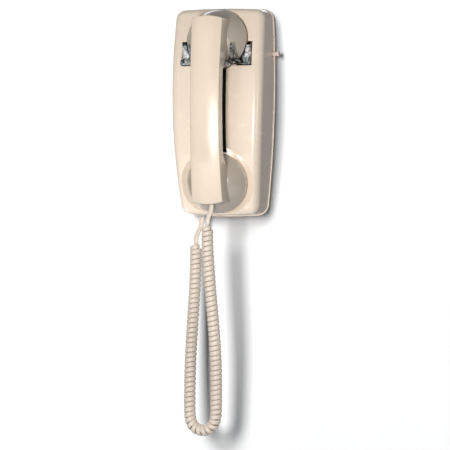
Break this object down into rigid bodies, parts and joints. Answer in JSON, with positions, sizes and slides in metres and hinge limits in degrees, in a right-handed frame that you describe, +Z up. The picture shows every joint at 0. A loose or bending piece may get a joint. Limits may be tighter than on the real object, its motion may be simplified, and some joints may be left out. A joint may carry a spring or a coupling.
{
  "type": "wall telephone",
  "caption": "Slim beige wall telephone with no dial: a bowed handset hangs on a chrome hook in front of a crowned housing, and its curly cord loops below.",
  "frame": {"origin": "middle of the two wall screws, on the wall plane at the back plate's rear face", "axes": "+Z up, the front and the handset face -Y, +X to the right seen from the front"},
  "size_m": [0.1105, 0.101, 0.4573],
  "materials": {
    "housing_plastic": "glossy moulded ABS, warm beige",
    "black_plastic": "matte black moulding",
    "chrome": "bright chrome plate",
    "plate_steel": "zinc-plated sheet steel",
    "screw_steel": "plated steel",
    "spring_steel": "spring wire",
    "brass": "turned and stamped brass",
    "board": "brown laminate",
    "dark_phenolic": "moulded phenolic",
    "winding": "enamelled copper under tape",
    "sleeve": "shrink sleeve",
    "paper_can": "waxed paper can",
    "capsule": "pressed shell",
    "rubber": "soft gasket",
    "nylon": "natural nylon",
    "lever_plastic": "pale pinkish moulding",
    "clear_plastic": "clear polycarbonate",
    "cord_vinyl": "soft satin vinyl",
    "wire_jacket": "grey PVC"
  },
  "bodies": {
    "base": {"back_plate": "plate_steel", "housing": "housing_plastic", "housing_screws": "screw_steel", "channel_liner": "black_plastic", "hook_brackets": "plate_steel", "bracket_screws": "screw_steel", "hook_pivot_pin": "screw_steel", "hook_return_spring": "spring_steel", "contact_leaves": "brass", "contact_insulators": "dark_phenolic", "contact_screws": "screw_steel", "circuit_board": "board", "board_standoffs": "screw_steel", "board_screws": "screw_steel", "board_terminals": "brass", "board_capacitors": "sleeve", "transformer_core": "plate_steel", "transformer_winding": "winding", "line_block": "dark_phenolic", "line_terminals": "brass", "ringing_capacitor": "paper_can", "ringer_frame": "plate_steel", "ringer_core": "screw_steel", "ringer_coil": "winding", "ringer_gong": "brass", "gong_screw": "screw_steel", "clapper_pin": "screw_steel", "loudness_rivet": "screw_steel", "base_jack": "dark_phenolic", "base_leads": "wire_jacket", "base_plug": "clear_plastic", "cord_base_lead": "cord_vinyl", "cord_coil": "cord_vinyl"},
    "hook": {"hook_lever": "chrome", "hook_actuator": "nylon"},
    "handset": {"handset_shell": "housing_plastic", "receiver_cap": "housing_plastic", "transmitter_cap": "housing_plastic", "receiver_capsule": "capsule", "receiver_gasket": "rubber", "transmitter_capsule": "capsule", "transmitter_cup": "dark_phenolic", "transmitter_contacts": "brass", "handset_jack": "dark_phenolic", "handset_leads": "wire_jacket", "handset_plug": "clear_plastic", "cord_handset_lead": "cord_vinyl"},
    "ringer_striker": {"clapper": "screw_steel"},
    "loudness": {"loudness_lever": "lever_plastic"}
  },
  "joints": [
    {"name": "handset_lift", "type": "slide", "parent": "base", "child": "handset", "axis": [0, -0.6428, 0.766], "range_m": [0, 0.08]},
    {"name": "hook_rise", "type": "hinge", "parent": "base", "child": "hook", "pos_m": [0, -0.021, 0.044], "axis": [-1, 0, 0], "range_deg": [0, 6.5]},
    {"name": "clapper_swing", "type": "hinge", "parent": "base", "child": "ringer_striker", "pos_m": [0.014, -0.013, 0.1], "axis": [0, 1, 0], "range_deg": [-3, 3], "stiffness_Nm_per_rad": 0.02},
    {"name": "loudness_turn", "type": "hinge", "parent": "base", "child": "loudness", "pos_m": [0.038, -0.0068, 0.062], "axis": [0, 1, 0], "range_deg": [-10, 10]}
  ],
  "couplings": [
    {"joint": "hook_rise", "follows": "handset_lift", "rad_per_m": 1.4}
  ]
}
